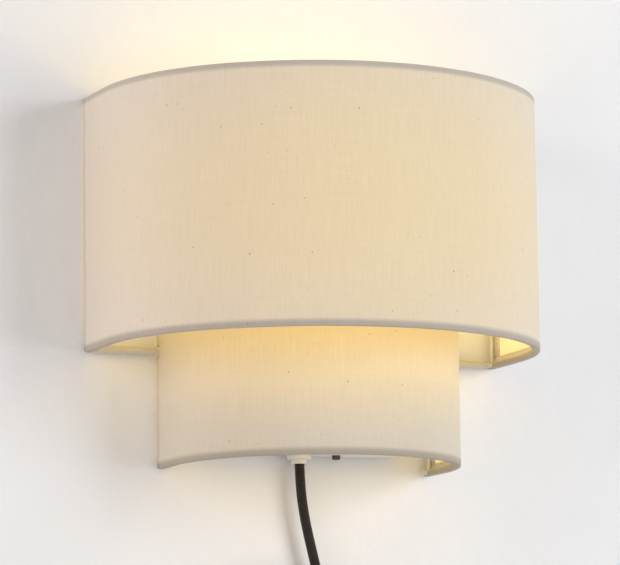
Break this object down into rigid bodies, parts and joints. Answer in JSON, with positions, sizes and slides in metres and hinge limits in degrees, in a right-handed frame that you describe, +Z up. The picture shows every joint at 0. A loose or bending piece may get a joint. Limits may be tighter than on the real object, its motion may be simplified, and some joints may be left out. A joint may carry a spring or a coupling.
{
  "type": "wall light",
  "caption": "Plug-in wall light with a stepped half-round fabric shade, a lower tier hanging inside a wider upper tier, on a white back box with a round cord.",
  "frame": {"origin": "middle of the wall screws' slots, on the wall face of the bracket", "axes": "+X to the right as seen from the front, +Y into the wall, +Z up"},
  "size_m": [0.305, 0.178, 0.5696],
  "materials": {
    "shade_cloth": "woven, matt",
    "shade_liner": "matt",
    "frame_wire": "satin",
    "bar_cloth": "woven, matt",
    "box_paint": "satin",
    "bracket_steel": "zinc-plated",
    "dark_screw": "blackened",
    "plated_steel": "zinc-plated",
    "white_nylon": "satin",
    "core_insulation": "satin",
    "lead_insulation": "satin",
    "connector_plastic": "satin",
    "arm_paint": "satin",
    "holder_plastic": "satin",
    "screw_shell": "satin",
    "bulb_cap_metal": "satin",
    "bulb_tip": "satin",
    "bulb_opal": "frosted",
    "braided_cord": "braided, matt",
    "tie_wrap": "satin",
    "switch_case": "satin",
    "rocker_plastic": "gloss",
    "plug_plastic": "satin",
    "plug_brass": "polished"
  },
  "bodies": {
    "root": {"wall_bracket": "bracket_steel", "back_box": "box_paint", "cover_screw": "dark_screw", "cord_grip": "white_nylon", "cord_grip_nut": "white_nylon", "wire_connectors": "connector_plastic", "supply_cores": "core_insulation", "lamp_leads": "lead_insulation", "lamp_arm": "arm_paint", "arm_collar": "arm_paint", "arm_nut": "plated_steel", "lampholder_cap": "holder_plastic", "lampholder_body": "holder_plastic", "lampholder_core": "holder_plastic", "lampholder_shell": "screw_shell", "lampholder_contact": "screw_shell", "shade_ring": "holder_plastic", "shade_spider": "frame_wire", "upper_fabric": "shade_cloth", "upper_liner": "shade_liner", "upper_top_ring": "frame_wire", "upper_bottom_ring": "frame_wire", "upper_stays": "frame_wire", "lower_fabric": "shade_cloth", "lower_liner": "shade_liner", "lower_top_ring": "frame_wire", "lower_bottom_ring": "frame_wire", "lower_stays": "frame_wire", "bar_wraps": "bar_cloth", "mains_cord": "braided_cord", "cord_coil": "braided_cord", "cord_tail": "braided_cord", "cord_end": "braided_cord", "cord_tie": "tie_wrap", "switch_front": "switch_case", "switch_back": "switch_case", "switch_screws": "plated_steel", "plug_body": "plug_plastic", "plug_blades": "plug_brass"},
    "bulb": {"bulb_glass": "bulb_opal", "bulb_cap": "bulb_cap_metal", "bulb_contact": "bulb_tip"},
    "rocker": {"switch_rocker": "rocker_plastic"}
  },
  "joints": [
    {"name": "bulb_unscrew", "type": "slide", "parent": "root", "child": "bulb", "axis": [0, 0, 1], "range_m": [0, 0.0145]},
    {"name": "switch_rock", "type": "hinge", "parent": "root", "child": "rocker", "pos_m": [0.0249, -0.02135, -0.232], "axis": [-1, 0, 0], "range_deg": [0, 14]}
  ]
}
